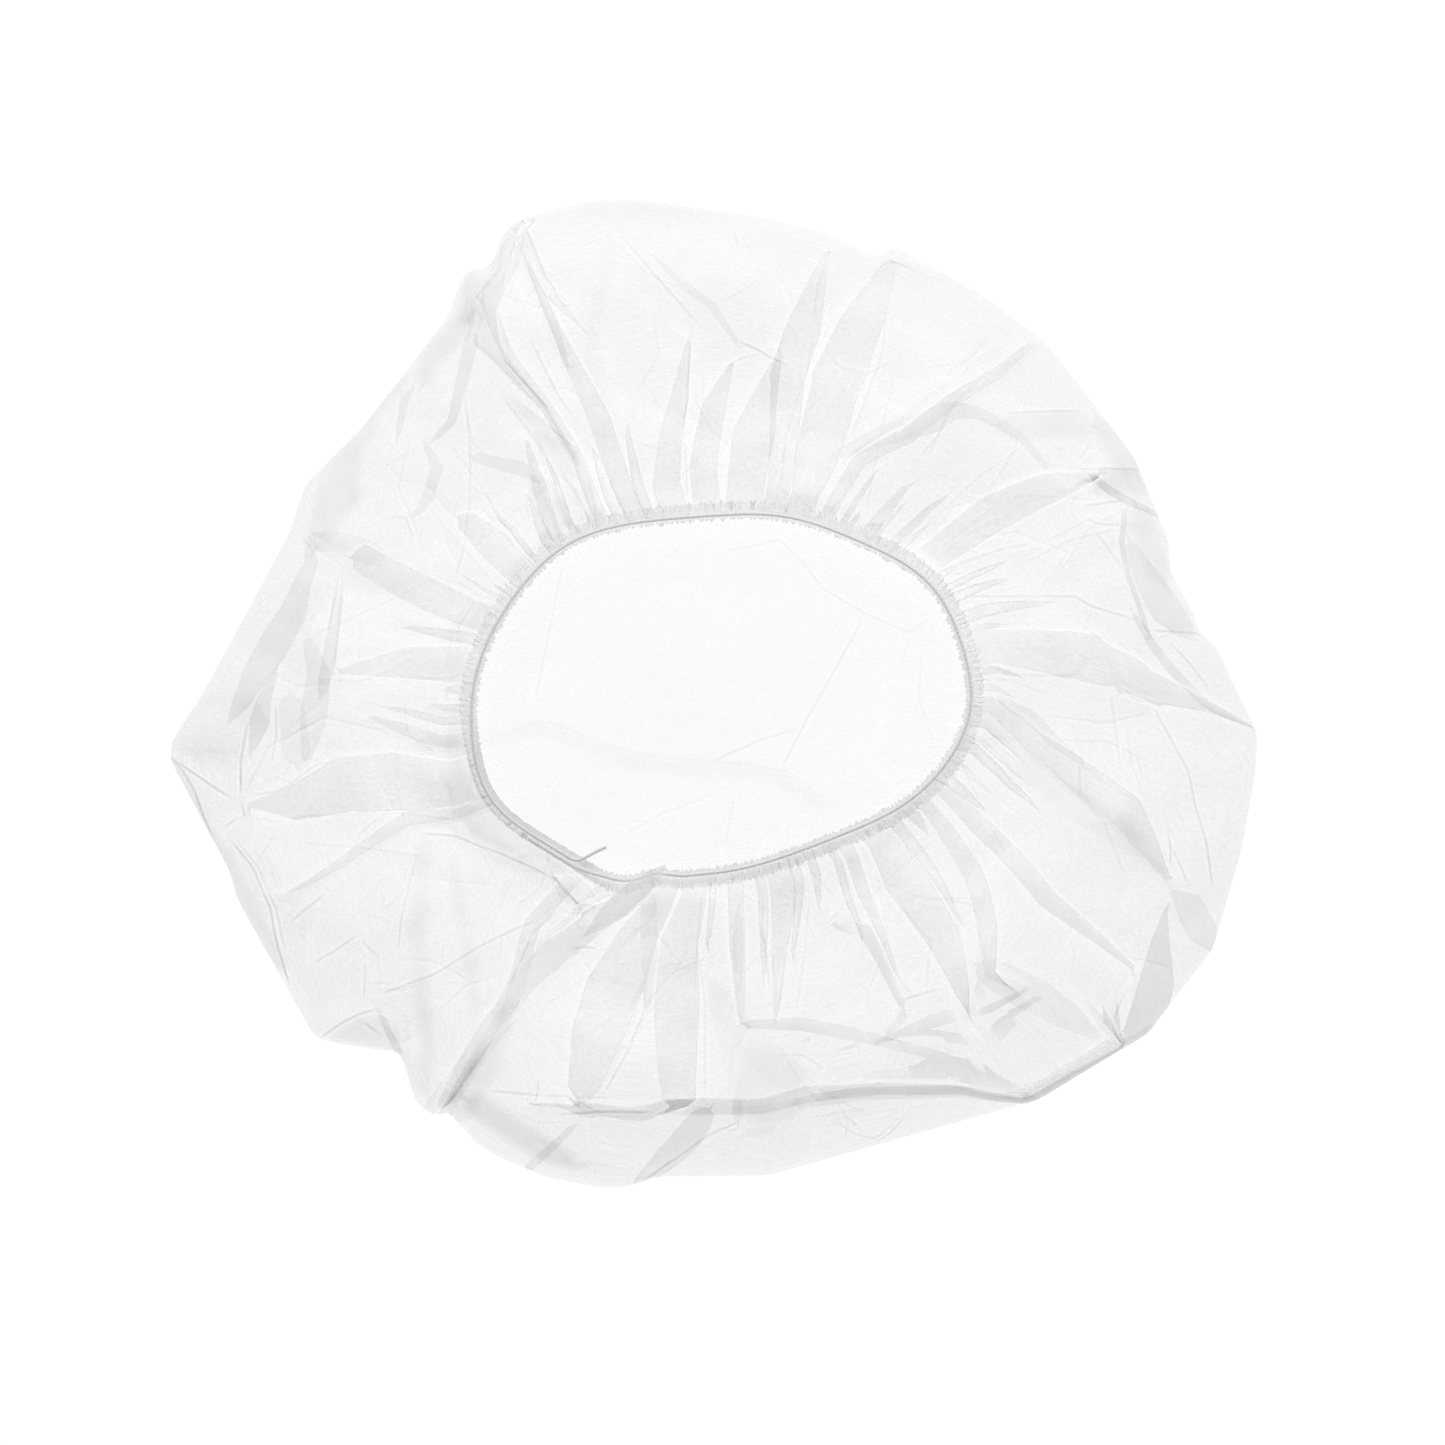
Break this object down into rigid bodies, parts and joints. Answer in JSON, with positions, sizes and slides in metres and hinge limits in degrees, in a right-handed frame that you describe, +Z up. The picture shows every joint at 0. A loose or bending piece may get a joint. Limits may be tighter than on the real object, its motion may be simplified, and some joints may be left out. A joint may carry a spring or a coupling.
{
  "type": "bouffant cap",
  "caption": "Disposable bouffant hair cap of thin nonwoven fabric, a puffed round bag gathered onto an elastic mouth, lying flat with the mouth up.",
  "frame": {"origin": "on the surface it lies on, under the middle of the cap's overall width and length", "axes": "+Z up, the way the mouth faces; +X along the cap's width, to the picture's right; +Y along its length, to the picture's top"},
  "size_m": [0.235, 0.2136, 0.0253],
  "materials": {
    "nonwoven_fabric": "white spunbond nonwoven, matt and translucent, with fine fibres showing",
    "gathered_hem": "the same white nonwoven, tightly puckered so that its layers look greyer",
    "elastic": "matt pale grey elastic strand under a row of fine stitches"
  },
  "bodies": {
    "root": {"crown": "nonwoven_fabric", "hem": "gathered_hem", "elastic_band": "elastic"}
  },
  "joints": []
}
